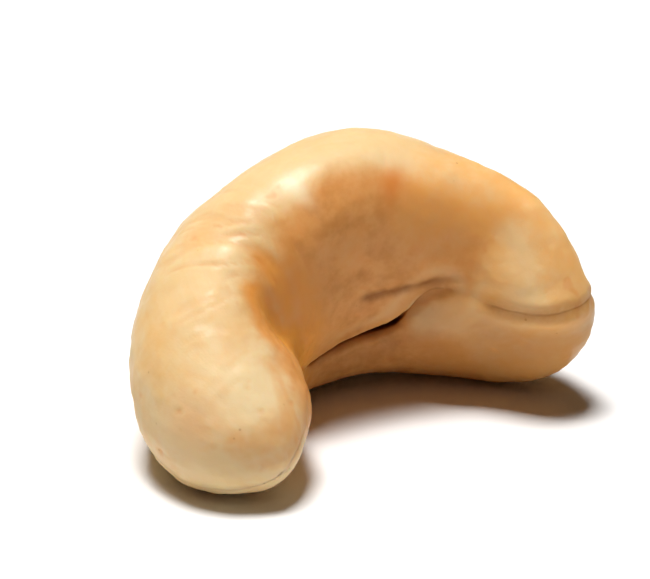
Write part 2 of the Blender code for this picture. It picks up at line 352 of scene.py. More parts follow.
# %% [markdown]
# ## The small relief
#
# A step away the nut's look comes from its form, but closer by it comes from marks between a tenth of
# a millimetre and a few millimetres in size. They could be painted as bump, but then the outline and
# the crack in the crook would stay smooth. So Geometry Nodes divide the skin and really move it:
#
# - the seam gets a narrow open crack with soft lips in the crook, and is nearly closed elsewhere;
# - a shallow fold runs over the crack, and creases fan out of the crook at the wide horn's elbow;
# - shallow ribs run lengthwise, as the seed's veins do;
# - frying leaves pits, a few low blisters and an uneven skin.
#
# Heights and depths are inputs of the tree, in millimetres. Places are millimetres too: along the
# crescent, out from its middle line and over the seam. In the cells below a pair of numbers is a range
# for a mask, from where it is 0 to where it is 1.

# %% Start the geometry tree and its named inputs
relief_tree = bpy.data.node_groups.new("fried_relief", "GeometryNodeTree")
relief_tree.interface.new_socket("Skin", in_out="INPUT", socket_type="NodeSocketGeometry")
relief_tree.interface.new_socket("Skin", in_out="OUTPUT", socket_type="NodeSocketGeometry")
RELIEF_SIZES = {
    "Crack depth": 0.36,
    "Crack half width": 0.17,
    "Seam closing": 0.12,
    "Valley closing": 0.20,
    "Lip height": 0.10,
    "Fold depth": 0.09,
    "Crease depth": 0.08,
    "Rib height": 0.055,
    "Pit depth": 0.07,
    "Blister height": 0.05,
    "Unevenness": 0.12,
    "Grain": 0.026,
}
for size_name in RELIEF_SIZES:
    relief_tree.interface.new_socket(size_name, in_out="INPUT", socket_type="NodeSocketFloat")
relief_tree.interface.new_socket("Seed", in_out="INPUT", socket_type="NodeSocketVector")
relief_tree.interface.new_socket("Finish", in_out="INPUT", socket_type="NodeSocketMaterial")

geometry = Graph(relief_tree)
inputs = geometry.node("NodeGroupInput").socket.node
given = {socket.name: Wire(geometry, socket) for socket in inputs.outputs if socket.name}
print("inputs of the relief tree:", len(given))

# %% Divide the skin
SUBDIVISION_LEVEL = 2

divided = geometry.node(
    "GeometryNodeSubdivisionSurface", values={"Mesh": given["Skin"], "Level": SUBDIVISION_LEVEL}
)
flow_place = geometry.node(
    "GeometryNodeInputNamedAttribute", {"data_type": "FLOAT_VECTOR"}, {"Name": "flow"}
)
along, out, over = geometry.parts(flow_place)
seeded_flow = geometry.vector_maths("ADD", flow_place, given["Seed"])
position = geometry.node("GeometryNodeInputPosition")
place = geometry.stretched(position, (1 / MM, 1 / MM, 1 / MM))
seeded_place = geometry.vector_maths("ADD", place, given["Seed"])
print("nodes so far:", len(relief_tree.nodes))

# %% Measure the distance from the seam
SEAM_WOBBLE = 0.05
WOBBLE_SCALE = 0.9

on_seam = geometry.node("GeometryNodeInputNamedAttribute", {"data_type": "BOOLEAN"}, {"Name": "seam"})
seam_curve = geometry.node("GeometryNodeMeshToCurve", values={"Mesh": divided, "Selection": on_seam})
seam_wire = geometry.node("GeometryNodeCurveToMesh", values={"Curve": seam_curve})
nearest = geometry.node("GeometryNodeProximity", {"target_element": "EDGES"}, {0: seam_wire, 2: position})
wobble = geometry.swing(seeded_place, WOBBLE_SCALE, detail=3.0) * SEAM_WOBBLE
seam_away = geometry.beside(nearest, "Distance") / MM + wobble
print("nodes so far:", len(relief_tree.nodes))

# %% [markdown]
# ### Softening the solid's facets
#
# A nut has no flat faces, but the CAD solid has, and their corners show as faint bands where light
# falls along the skin. More subdivision wouldn't remove them, because it follows the corners closely.
# Blurring the points' positions does: each point moves towards its neighbours. The groove of the seam
# must stay, so it is hardly blurred, but for the wide horn, where the photograph shows no seam.

# %% Smooth away the traces of the flat faces
SMOOTHING_ROUNDS = 8
SEAM_SMOOTHING = 0.15
BESIDE_GROOVE = (0.25, 0.8)
WIDE_TIP = (8.5, 12.0)

near_wide_tip = geometry.step(-along, *WIDE_TIP)
smoothed_share = geometry.maths("MAXIMUM", geometry.step(abs(seam_away), *BESIDE_GROOVE), near_wide_tip)
softness = SEAM_SMOOTHING + (1.0 - SEAM_SMOOTHING) * smoothed_share
blurred = geometry.node(
    "GeometryNodeBlurAttribute",
    {"data_type": "FLOAT_VECTOR"},
    {"Value": position, "Iterations": SMOOTHING_ROUNDS, "Weight": softness},
)
to_blurred = geometry.vector_maths("SUBTRACT", blurred, position)
print("nodes so far:", len(relief_tree.nodes))

# %% [markdown]
# ### The seam and its open crack
#
# The two halves shrink as they fry, and in the crook they part a little. The crack is a dark slit that
# is widest on the side of the narrow horn and gets finer towards the wide one. It could be cut with a
# Boolean, but a straight cut would look like a knife's. Here it is a depth over the distance from the
# seam, so its edge can wobble and its lips can swell and fade. Elsewhere the seam is only a fine line,
# so part of the CAD groove is filled up again.

# %% Where the crack is open
CRACK_START = (-7.5, -6.0)
CRACK_WIDENS = (-6.0, 3.0)
CRACK_END = (10.6, 8.0)
START_SHARE = 0.6
CROOK_SIDE = (0.0, 1.0)

outward_way = geometry.node(
    "GeometryNodeInputNamedAttribute", {"data_type": "FLOAT_VECTOR"}, {"Name": "outward"}
)
normal = geometry.node("GeometryNodeInputNormal")
facing_out = geometry.beside(geometry.vector_maths("DOT_PRODUCT", normal, outward_way), "Value")
crookward = geometry.clamp(-facing_out)
widening = (1.0 - START_SHARE) * geometry.step(along, *CRACK_WIDENS)
opening = START_SHARE * geometry.step(along, *CRACK_START) + widening
open_here = opening * geometry.step(along, *CRACK_END)
openness = open_here * geometry.step(-out, *CROOK_SIDE)
print("nodes so far:", len(relief_tree.nodes))

# %% The crack with its lips
NARROWEST_CRACK = 0.5
CRACK_SIDES = (1.8, 0.2)
LIP_PLACE = 0.62
LIP_REACH = 0.30
CLOSED_LIP = 0.4
LIP_SCALE = 0.45

crack_half_width = given["Crack half width"] * (NARROWEST_CRACK + (1.0 - NARROWEST_CRACK) * open_here)
crack_shape = geometry.step(abs(seam_away) / crack_half_width, *CRACK_SIDES)
lip_share = CLOSED_LIP + (1.0 - CLOSED_LIP) * openness
lip_shape = geometry.hump(abs(seam_away), LIP_PLACE, LIP_REACH) * lip_share
# Noise times two varies round 1
lip_variation = geometry.noise(seeded_place, LIP_SCALE) * 2.0
lips = given["Lip height"] * lip_shape * (1.0 - near_wide_tip) * lip_variation
print("nodes so far:", len(relief_tree.nodes))

# %% Fill up the closed part of the groove
CLOSED_REACH = 0.34
VALLEY_REACH = 1.2
NARROW_TIP = (12.0, 14.5)
LEFT_OPEN_AT_NARROW_TIP = 0.65
LEFT_OPEN_AT_WIDE_TIP = 0.5

closed = (1.0 - openness) * (1.0 - LEFT_OPEN_AT_NARROW_TIP * geometry.step(along, *NARROW_TIP))
closed = closed * (1.0 - LEFT_OPEN_AT_WIDE_TIP * near_wide_tip)
closing = given["Seam closing"] * geometry.hump(seam_away, 0.0, CLOSED_REACH) * closed
closing = closing + given["Valley closing"] * geometry.hump(seam_away, 0.0, VALLEY_REACH) * near_wide_tip
seam_relief = lips + closing - given["Crack depth"] * crack_shape * openness
print("nodes so far:", len(relief_tree.nodes))

# %% [markdown]
# ### Folds and creases
#
# The skin is pressed together on the inside of the bend. Over the crack it has given way in one long
# shallow fold, and at the elbow of the wide horn in fine creases that cross the horn. Creases drawn one
# by one as curves would look drawn. A noise that is stretched across the horn meets its middle value
# along thin wandering lines, and those lines are pushed in.

# %% A shallow fold that runs over the crack
FOLD_OVER = 1.45
FOLD_REACH = 0.26
FOLD_SWAY = 0.9
FOLD_SWAY_SCALE = 0.35
FOLD_START = (2.5, 5.0)
FOLD_END = (14.5, 12.0)
WALL_OF_CROOK = (0.3, 0.6)

fold_place = over + geometry.swing(seeded_flow, FOLD_SWAY_SCALE) * FOLD_SWAY
fold_length = geometry.step(along, *FOLD_START) * geometry.step(along, *FOLD_END)
fold = geometry.hump(fold_place, FOLD_OVER, FOLD_REACH) * fold_length
fold = fold * geometry.step(crookward, *WALL_OF_CROOK)
print("nodes so far:", len(relief_tree.nodes))

# %% Creases at the inner elbow
ELBOW_ALONG = -8.0
ELBOW_REACH = 4.2
ELBOW_INSIDE = (-2.6, 0.6)
ELBOW_OVER = (3.4, 6.0)
CREASE_STRETCH = (0.60, 0.12, 0.14)
CREASE_EDGE = (0.06, 0.0)

crease_coordinates = geometry.stretched(seeded_flow, CREASE_STRETCH)
crease_noise = geometry.swing(crease_coordinates, 1.0, detail=2.0, roughness=0.55, distortion=0.35)
crease_lines = geometry.step(abs(crease_noise), *CREASE_EDGE)
elbow = geometry.hump(along, ELBOW_ALONG, ELBOW_REACH) * geometry.step(-out, *ELBOW_INSIDE)
elbow = elbow * geometry.step(over, *ELBOW_OVER)
creases = given["Crease depth"] * crease_lines * elbow
print("nodes so far:", len(relief_tree.nodes))

# %% [markdown]
# ### Veins, dents and blisters
#
# The veins of the seed run lengthwise, so their noise is stretched along the crescent. The other
# unevenness has no direction: drying leaves swells and dimples, the oil opens small round pits, and
# steam under the skin raises a few low blisters on the back. All of it could be sculpted by hand, but
# seeded noise gives the same nut at every run and another nut for another seed.

# %% Lengthwise ribs, uneven skin and grain
RIB_STRETCH = (0.07, 0.8, 0.8)
SWELL_SCALE = 0.33
DIMPLE_SCALE = 0.95
GRAIN_SCALE = 2.2

# A swing times two goes from about -1 to 1, so a height is the most that is added or taken away
rib_coordinates = geometry.stretched(seeded_flow, RIB_STRETCH)
ribs = geometry.swing(rib_coordinates, 1.0, detail=2.0, distortion=0.6) * given["Rib height"] * 2.0
ribs = ribs * (1.0 - crookward)
swells = geometry.swing(seeded_place, SWELL_SCALE, detail=1.0) * given["Unevenness"] * 2.0
dimples = geometry.swing(seeded_place, DIMPLE_SCALE, detail=2.0) * given["Unevenness"]
grain = geometry.swing(seeded_place, GRAIN_SCALE, detail=1.0) * given["Grain"] * 2.0
uneven = ribs + swells + dimples + grain
print("nodes so far:", len(relief_tree.nodes))

# %% Pits and blisters left by the hot oil
PIT_SCALE = 0.62
PIT_EDGE = (0.20, 0.04)
CHOSEN_PITS = (0.55, 0.85)
BLISTER_SCALE = 0.40
BLISTER_EDGE = (0.36, 0.10)
CHOSEN_BLISTERS = (0.60, 0.90)
BLISTER_SHIFT = (7.0, 3.0, 5.0)

pit_distance, pit_colour = geometry.cells(seeded_place, PIT_SCALE)
pits = geometry.step(pit_distance, *PIT_EDGE) * geometry.step(geometry.parts(pit_colour)[0], *CHOSEN_PITS)
blister_place = geometry.vector_maths("ADD", seeded_place, BLISTER_SHIFT)
blister_distance, blister_colour = geometry.cells(blister_place, BLISTER_SCALE)
chosen_blisters = geometry.step(geometry.parts(blister_colour)[0], *CHOSEN_BLISTERS)
blisters = geometry.step(blister_distance, *BLISTER_EDGE) * chosen_blisters * (1.0 - crookward)
frying = given["Blister height"] * blisters - given["Pit depth"] * pits
print("nodes so far:", len(relief_tree.nodes))

# %% Move the skin and keep what the material needs
total_relief = (seam_relief - fold * given["Fold depth"] - creases + uneven + frying) * MM
lifted = geometry.node("ShaderNodeVectorMath", {"operation": "SCALE"}, {0: normal, "Scale": total_relief})
offset = geometry.vector_maths("ADD", to_blurred, lifted)
kept_values = {
    "seam_away": abs(seam_away),
    "openness": openness,
    "crookward": crookward,
    "fold": fold,
    "crease": crease_lines * elbow,
    "pit": pits,
    "blister": blisters,
}
marked_skin = divided
for value_name, value in kept_values.items():
    marked_skin = geometry.node(
        "GeometryNodeStoreNamedAttribute",
        {"data_type": "FLOAT", "domain": "POINT"},
        {"Geometry": marked_skin, "Name": value_name, "Value": value},
    )
moved = geometry.node("GeometryNodeSetPosition", values={"Geometry": marked_skin, "Offset": offset})
print("values kept on the skin:", list(kept_values))

# %% Finish the geometry tree
smooth = geometry.node("GeometryNodeSetShadeSmooth", values={"Geometry": moved})
real = geometry.node("GeometryNodeRealizeInstances", values={"Geometry": smooth})
dressed = geometry.node("GeometryNodeSetMaterial", values={"Geometry": real, "Material": given["Finish"]})
geometry.node("NodeGroupOutput", values={0: dressed})
print("relief tree:", len(relief_tree.nodes), "nodes")

# %% [markdown]
# ## The fried skin
#
# The skin is ivory where it is palest and golden brown where the oil was hottest or where the seed
# dried most: in the crook, along the seam, at the tips and on a few raised spots. Part of the brown in the
# crook, under the narrow horn, in the fold and in the crack is painted shade, and a few pale marks are
# painted highlights. One base colour would look like plastic, and an image wrapped round a crescent would
# stretch in the crook. So masks made of the skin's own numbers and of noise lay browner tones over the
# ivory, each for a cause. Light also sinks into the nut and comes out again near by, which subsurface
# scattering gives, and the frying oil is a thin uneven coat.

# %% Colours of the skin
SCREEN_WHITE = 255
SCREEN_LIFT = 0.055
SCREEN_POWER = 2.4


def from_screen(*tone):
    """A linear colour from screen values out of 255."""
    shares = (value / SCREEN_WHITE for value in tone)
    return (*(((share + SCREEN_LIFT) / (1 + SCREEN_LIFT)) ** SCREEN_POWER for share in shares), 1.0)


PALE = from_screen(238, 224, 186)
IVORY = from_screen(230, 200, 150)
GOLD = from_screen(228, 176, 104)
TOAST = from_screen(224, 154, 83)
AMBER = from_screen(238, 170, 88)
BROWN = from_screen(165, 106, 50)
UMBER = from_screen(140, 78, 24)
CARAMEL = from_screen(224, 148, 52)
CRACK_BROWN_AND_SHADE = from_screen(84, 44, 22)
ORANGE = from_screen(219, 128, 52)
RUSSET = from_screen(236, 156, 62)
print("ivory in linear light:", [round(value, 3) for value in IVORY[:3]])

# %% Start the material and read the skin's own values
skin_finish = bpy.data.materials.new("fried_skin")
skin_finish.use_nodes = True
skin_finish.node_tree.nodes.clear()
paint = Graph(skin_finish.node_tree)


def stored_value(name, output="Fac"):
    """A number that the skin carries under a name, or a vector, from the output of that name."""
    wire = paint.node("ShaderNodeAttribute", {"attribute_type": "GEOMETRY", "attribute_name": name})
    return paint.beside(wire, output)


flow_here = stored_value("flow", "Vector")
along_here, out_here, over_here = paint.parts(flow_here)
object_place = paint.node("ShaderNodeTexCoord", output="Object")
place_here = paint.stretched(object_place, (1 / MM, 1 / MM, 1 / MM))
seam_here = stored_value("seam_away")
open_crack = stored_value("openness")
in_crook = stored_value("crookward")
print("nodes so far:", len(skin_finish.node_tree.nodes))

# %% [markdown]
# ### Noise that all masks share
#
# Frying browns a skin in soft patches a few millimetres wide, in finer ones, and in streaks along the
# veins. If every mask had its own noise, the tones would cross each other like camouflage. With one set
# for all of them a patch that is browner in one tone is browner in the next. In the cells below a pair
# of numbers is a range for a mask, as in the relief, or for the helper called mottled it is a share and
# how much that share varies.

# %% Soft patches, fine patches and lengthwise streaks
PATCH_SCALE = 0.30
FINE_SCALE = 1.4
STREAK_STRETCH = (0.10, 1.0, 1.0)
STREAK_SCALE = 1.3

patches = paint.noise(place_here, PATCH_SCALE, detail=3.0, roughness=0.6, distortion=0.4)
patch_swing = patches - 0.5
fine_swing = paint.swing(place_here, FINE_SCALE, detail=3.0, roughness=0.6)
streak_place = paint.stretched(flow_here, STREAK_STRETCH)
streak_swing = paint.swing(streak_place, STREAK_SCALE, detail=3.0, distortion=0.5) * (1.0 - in_crook)


def mottled(share, unevenness):
    """A share that is a little higher or lower from one fine patch to the next."""
    return share + fine_swing * unevenness


def mixed(share, first, second):
    """A colour between two others: the node's sockets 6 and 7 are its two colours, output 2 the mix."""
    return paint.node("ShaderNodeMix", {"data_type": "RGBA"}, {0: share, 6: first, 7: second}, output=2)


print("nodes so far:", len(skin_finish.node_tree.nodes))

# %% [markdown]
# ### Ivory, gold and a pale rim with a painted highlight
#
# A fried kernel goes from ivory to gold in patches without any edge. It is palest at the wide horn's
# tip, and paler along the rim where the back turns over into the crook, where the pale tone is partly a
# painted highlight of the light from above. One noise between the two colours would look like marble,
# so three are added up: soft, fine and lengthwise.

# %% Ivory and gold, paler towards the wide horn's tip
PATCH_SHARE = 1.5
FINE_SHARE = 0.6
STREAK_SHARE = 0.6
GOLD_SHARE = 0.42
PALE_HORN = (11.0, 15.0)
PALE_HORN_LOSS = 0.25
PALE_END_ALONG = (13.5, 16.5)
PALE_END_OVER = (2.0, 3.6)
PALE_END_SHARE = 0.25

mottling = patch_swing * PATCH_SHARE + fine_swing * FINE_SHARE + streak_swing * STREAK_SHARE
golden = paint.clamp(GOLD_SHARE - PALE_HORN_LOSS * paint.step(-along_here, *PALE_HORN) + mottling)
pale_end = paint.step(-along_here, *PALE_END_ALONG) * paint.step(over_here, *PALE_END_OVER)
colour = mixed(pale_end * PALE_END_SHARE, mixed(golden, IVORY, GOLD), PALE)
print("nodes so far:", len(skin_finish.node_tree.nodes))

# %% A pale rim, partly a painted highlight, where the back turns over into the crook
RIM_FACING = 0.15
RIM_REACH = 0.20
RIM_OVER = (4.5, 6.5)
RIM_SHARE = 0.4
RIM_PATCHES = 0.9

# Partly a painted highlight: a pale band where the back turns over into the crook
pale_rim_and_highlight = paint.hump(in_crook, RIM_FACING, RIM_REACH) * paint.step(over_here, *RIM_OVER)
colour = mixed(pale_rim_and_highlight * (RIM_SHARE + patches * RIM_PATCHES), colour, IVORY)
print("nodes so far:", len(skin_finish.node_tree.nodes))

# %% [markdown]
# ### The toasted and shaded crook
#
# The wall of the crook is the brownest part of the nut. The skin there is really browner, and its brown
# also holds painted shade, as the crook lies in shade. How much the skin faces the crook's centre gives
# the mask, so the toast and the painted shade end along the real edge of the wall. The brown under the
# seam is painted shade, and the elbow of the wide horn gets painted shade and a warm painted glow of the
# light that shines into it from both walls.

# %% Toast and painted shade on the wall of the crook
WALL_EDGE = 0.48
WALL_EDGE_DROP = 0.22
WALL_EDGE_ALONG = (2.0, 12.0)
WALL_END = (15.8, 14.6)
WALL_END_WANDERS = 1.5
WALL_EDGE_WANDERS = 0.24
WALL_SOFTNESS = 0.16
WALL_TOAST_AND_SHADE = (0.9, 0.4)

wall_edge = WALL_EDGE - WALL_EDGE_DROP * paint.step(along_here, *WALL_EDGE_ALONG)
wall_end = paint.step(along_here + patch_swing * WALL_END_WANDERS, *WALL_END)
inside_edge = in_crook - wall_edge + patch_swing * WALL_EDGE_WANDERS
# Real toast and painted shade: the wall of the crook is browner
crook_toast_and_shade = paint.step(inside_edge, -WALL_SOFTNESS, WALL_SOFTNESS) * wall_end
colour = mixed(crook_toast_and_shade * mottled(*WALL_TOAST_AND_SHADE), colour, TOAST)
print("nodes so far:", len(skin_finish.node_tree.nodes))

# %% Brown patches on the wall, and painted shade in the elbow and under the seam
BROWN_PATCHES = (0.40, 0.75)
BROWN_PATCH_UNEVENNESS = 0.4
BROWN_PATCH_SHARE = 0.5
DEEP_OVER = (2.0, -3.0)
DEEP_ALONG = (-15.0, -8.0)
DEEP_SHADE = (0.55, 0.5)
ELBOW_WALL_ALONG = -9.3
ELBOW_WALL_REACH = 3.8
ELBOW_WALL_INSIDE = (3.8, 4.8)
ELBOW_WALL_OVER = (6.4, 4.8)
ELBOW_WALL_SHADE = (0.85, 0.3)

brown_patches = paint.step(mottled(patches, BROWN_PATCH_UNEVENNESS), *BROWN_PATCHES)
wall_shade = in_crook * brown_patches * wall_end
colour = mixed(wall_shade * BROWN_PATCH_SHARE, colour, BROWN)
# Painted shade: the wall at the wide horn's elbow is darkened with toast colour
elbow_shade = paint.hump(along_here, ELBOW_WALL_ALONG, ELBOW_WALL_REACH)
elbow_shade = elbow_shade * paint.step(-out_here, *ELBOW_WALL_INSIDE) * paint.step(over_here, *ELBOW_WALL_OVER)
colour = mixed(elbow_shade * mottled(*ELBOW_WALL_SHADE), colour, TOAST)
# Painted shade: the wall below the seam is browner
shade_under_seam = in_crook * paint.step(over_here, *DEEP_OVER) * paint.step(along_here, *DEEP_ALONG)
colour = mixed(shade_under_seam * mottled(*DEEP_SHADE), colour, BROWN)
print("nodes so far:", len(skin_finish.node_tree.nodes))

# %% A painted warm glow of bounce light in the shade at the elbow of the wide horn
GLOW_ALONG = -10.5
GLOW_REACH = 3.0
GLOW_FACING = (0.34, 0.64)
GLOW_RUSSET = (0.60, 0.4)
GLOW_UNDER = (5.0, 2.2)
GLOW_CARAMEL_SHARE = 0.75

# Painted bounce light in shade: warm russet and caramel at the elbow
painted_elbow_glow = paint.hump(along_here, GLOW_ALONG, GLOW_REACH) * paint.step(in_crook, *GLOW_FACING)
colour = mixed(painted_elbow_glow * mottled(*GLOW_RUSSET), colour, RUSSET)
colour = mixed(painted_elbow_glow * paint.step(over_here, *GLOW_UNDER) * GLOW_CARAMEL_SHARE, colour, CARAMEL)
print("nodes so far:", len(skin_finish.node_tree.nodes))

# %% [markdown]
# ### The narrow horn and the tips
#
# The thin end of a nut heats through first, so the narrow horn is amber. It is darker underneath, which
# is painted shade, and a ridge across its end and a lower lip beside the seam are paler, which is a
# painted highlight. The wide horn's tip is only browner in patches. Noise can't place such marks, so
# they are humps and steps over the flow numbers. The few single spots are placed one by one; the pale
# one is a painted highlight.

# %% Amber narrow horn with a painted highlight on its ridge
HORN_ALONG = (11.0, 16.0)
HORN_SHARE = 0.45
RIDGE_OUT = -0.8
RIDGE_REACH = 0.85
RIDGE_WANDERS = 1.2
RIDGE_ALONG = (14.2, 15.2)
RIDGE_FROM = (0.2, 1.2)
RIDGE_TO = (6.0, 4.8)
RIDGE_HIGHLIGHT_SHARE = 0.62
SHOULDER_ALONG = (8.0, 11.0)
SHOULDER_OVER = (3.4, 5.2)
SHOULDER_AMBER = (0.46, 0.8)

horn_toast = paint.step(along_here, *HORN_ALONG) * (HORN_SHARE + patch_swing)
colour = mixed(paint.clamp(horn_toast), colour, AMBER)
# Painted highlight: a pale band along the ridge across the narrow horn's end
ridge_highlight = paint.hump(out_here + fine_swing * RIDGE_WANDERS, RIDGE_OUT, RIDGE_REACH)
ridge_highlight = ridge_highlight * paint.step(along_here, *RIDGE_ALONG)
ridge_highlight = ridge_highlight * paint.step(over_here, *RIDGE_FROM) * paint.step(over_here, *RIDGE_TO)
colour = mixed(ridge_highlight * RIDGE_HIGHLIGHT_SHARE, colour, IVORY)
shoulder = paint.step(along_here, *SHOULDER_ALONG) * paint.step(over_here, *SHOULDER_OVER)
colour = mixed(shoulder * mottled(*SHOULDER_AMBER), colour, AMBER)
print("nodes so far:", len(skin_finish.node_tree.nodes))

# %% Painted shade under the narrow horn and a painted highlight on its lower lip
UNDER_ALONG = (10.0, 14.0)
UNDER_DOWN = (-0.4, 1.4)
UNDER_SHADE_SHARE = 0.54
LOWER_LIP_OVER = -0.5
LOWER_LIP_REACH = 0.9
LOWER_LIP_FROM = (9.5, 12.0)
LOWER_LIP_TO = (17.0, 15.0)
LOWER_LIP_HIGHLIGHT_SHARE = 0.68

# Painted shade: the narrow horn's under side is darker
horn_under_shade = paint.step(along_here, *UNDER_ALONG) * paint.step(-over_here, *UNDER_DOWN)
colour = mixed(horn_under_shade * UNDER_SHADE_SHARE, colour, BROWN)
# Painted highlight: the lower lip beside the seam is paler
lower_lip_highlight = paint.hump(over_here, LOWER_LIP_OVER, LOWER_LIP_REACH) * in_crook
lower_lip_highlight = lower_lip_highlight * paint.step(along_here, *LOWER_LIP_FROM) * paint.step(along_here, *LOWER_LIP_TO)
colour = mixed(lower_lip_highlight * LOWER_LIP_HIGHLIGHT_SHARE, colour, IVORY)
print("nodes so far:", len(skin_finish.node_tree.nodes))

# %% The wide horn's tip, single round spots and a painted highlight
TIP_ALONG = (12.0, 18.0)
TIP_PATCHES = (0.40, 0.70)
TIP_SHARE = 0.55
SPOTS_AND_HIGHLIGHT = [
    {"place": (8.4, -4.4, 7.0), "reach": 1.0, "share": 0.65, "tone": ORANGE},
    # This pale spot is a painted highlight on the shoulder above the crook
    {"place": (-1.6, -4.4, 8.1), "reach": 1.1, "share": 0.70, "tone": PALE},
    {"place": (-15.5, 3.0, 3.2), "reach": 1.2, "share": 0.30, "tone": ORANGE},
]

tip_toast = paint.step(-along_here, *TIP_ALONG) * paint.step(patches, *TIP_PATCHES)
colour = mixed(tip_toast * TIP_SHARE, colour, TOAST)
for spot in SPOTS_AND_HIGHLIGHT:
    away = paint.beside(paint.vector_maths("DISTANCE", flow_here, spot["place"]), "Value")
    colour = mixed(paint.hump(away, 0.0, spot["reach"]) * spot["share"], colour, spot["tone"])
print("single spots:", len(SPOTS_AND_HIGHLIGHT))

# %% Scattered orange spots
SPOT_SCALE = 0.75
SPOT_EDGE = (0.66, 0.78)
SPOT_SHARE = 0.30

scattered = paint.step(paint.noise(place_here, SPOT_SCALE), *SPOT_EDGE)
colour = mixed(scattered * SPOT_SHARE, colour, ORANGE)
print("nodes so far:", len(skin_finish.node_tree.nodes))

# %% [markdown]
# ### Dark lines and small marks
#
# Oil collects in the seam, and it fries darker there. The fold over the crack holds a painted shadow,
# and the open crack is painted near black-brown, partly its own brown and partly painted shade in the
# gap. These lines could be drawn in the material anew, but then they would miss the forms. The relief's
# masks are kept on the skin, so the dark lines lie exactly in them. On the wide horn the seam fades, as
# the photograph shows it, and the crack's upper lip gets a painted highlight.

# %% Stain beside the seam and a painted highlight on the upper lip
FADING = (9.0, 12.5)
STAIN_REACH = (0.8, 0.05)
STAIN_SHARE = 0.25
STAIN_AT_CRACK = 0.55
STAIN_AT_NARROW_TIP = 0.35
STAINED_TIP = (13.0, 15.0)
STAIN_PATCHES = (0.55, 0.5)
UPPER_LIP_AWAY = 1.05
UPPER_LIP_REACH = 0.40
UPPER_LIP_OVER = (-0.8, 0.2)
UPPER_LIP_ALONG = (-4.0, -1.0)
UPPER_LIP_HIGHLIGHT_SHARE = 0.45

faded = 1.0 - paint.step(-along_here, *FADING)
seam_share = STAIN_SHARE + STAIN_AT_CRACK * open_crack
seam_share = faded * (seam_share + STAIN_AT_NARROW_TIP * paint.step(along_here, *STAINED_TIP))
seam_stain = paint.step(seam_here, *STAIN_REACH) * seam_share
colour = mixed(seam_stain * mottled(*STAIN_PATCHES), colour, BROWN)
# Painted highlight: the crack's upper lip is paler than the wall
upper_lip_highlight = paint.hump(seam_here, UPPER_LIP_AWAY, UPPER_LIP_REACH) * in_crook
upper_lip_highlight = upper_lip_highlight * paint.step(over_here, *UPPER_LIP_OVER) * paint.step(along_here, *UPPER_LIP_ALONG)
colour = mixed(upper_lip_highlight * UPPER_LIP_HIGHLIGHT_SHARE, colour, IVORY)
print("nodes so far:", len(skin_finish.node_tree.nodes))

# %% Painted shadow in the fold, and the dark crack, partly painted shade
FOLD_SHADOW_SHARE = 0.75
LINE_WIDTH = 0.07
CRACK_ADDS = 0.15
LINE_SIDES = (1.6, 0.4)
CLOSED_LINE_SHARE = 0.25
OPEN_CRACK_SHADE_SHARE = 0.75

# Painted shadow: umber along the fold over the crack
colour = mixed(stored_value("fold") * FOLD_SHADOW_SHARE, colour, UMBER)
# The closed seam gets a fine brown line of its own; the open crack is painted near black-brown, its own
# brown and painted shade in the gap
crack_line = paint.step(seam_here / (LINE_WIDTH + CRACK_ADDS * open_crack), *LINE_SIDES)
line_share = CLOSED_LINE_SHARE * faded + OPEN_CRACK_SHADE_SHARE * open_crack
colour = mixed(crack_line * line_share, colour, mixed(open_crack, BROWN, CRACK_BROWN_AND_SHADE))
print("nodes so far:", len(skin_finish.node_tree.nodes))

# %% Pits, creases, blisters and specks
PIT_SHARE = 0.45
CREASE_SHARE = 0.30
BLISTER_SHARE = 0.25
SPECK_SCALE = 1.5
SPECK_EDGE = (0.14, 0.05)
CHOSEN_SPECKS = (0.86, 0.95)
SPECK_SHARE = 0.4

pit_here = stored_value("pit")
colour = mixed(pit_here * PIT_SHARE, colour, TOAST)
colour = mixed(stored_value("crease") * CREASE_SHARE, colour, TOAST)
colour = mixed(stored_value("blister") * (1.0 - in_crook) * BLISTER_SHARE, colour, IVORY)
speck_distance, speck_colour = paint.cells(place_here, SPECK_SCALE)
specks = paint.step(speck_distance, *SPECK_EDGE) * paint.step(paint.parts(speck_colour)[1], *CHOSEN_SPECKS)
colour = mixed(specks * SPECK_SHARE, colour, BROWN)
print("nodes so far:", len(skin_finish.node_tree.nodes))

# %% [markdown]
# ### Oil, shine and the finest bumps
#
# A fried nut is waxy rather than glossy: a thin film of oil lies on it in patches and hardly in the
# crook. A coat of even weight would look varnished, so one noise drives both the coat and the roughness.
# Pores and fibres are too fine to be formed, and a bump of the light is enough for them.

# %% Oil and roughness
OIL_SCALE = 0.55
OIL_EDGE = (0.42, 0.62)
DRY_ROUGHNESS = (0.58, 0.12)
OIL_SMOOTHS = 0.14
PIT_ROUGHENS = 0.1
LEAST_COAT = 0.04
OIL_COAT = 0.20
COAT_LOST_IN_CROOK = 0.8

oil = paint.step(paint.noise(place_here, OIL_SCALE), *OIL_EDGE)
roughness = mottled(*DRY_ROUGHNESS) - OIL_SMOOTHS * oil + pit_here * PIT_ROUGHENS
coat = (LEAST_COAT + OIL_COAT * oil) * (1.0 - in_crook * COAT_LOST_IN_CROOK)
print("nodes so far:", len(skin_finish.node_tree.nodes))

# %% Pores and fibres as bumps
PORE_SCALE = 7.0
PORE_SHARE = 0.8
FIBRE_STRETCH = (0.25, 2.2, 2.2)
FIBRE_SCALE = 2.2
FIBRE_SHARE = 0.7
BUMP_STRENGTH = 0.35
BUMP_HEIGHT = 0.03 * MM

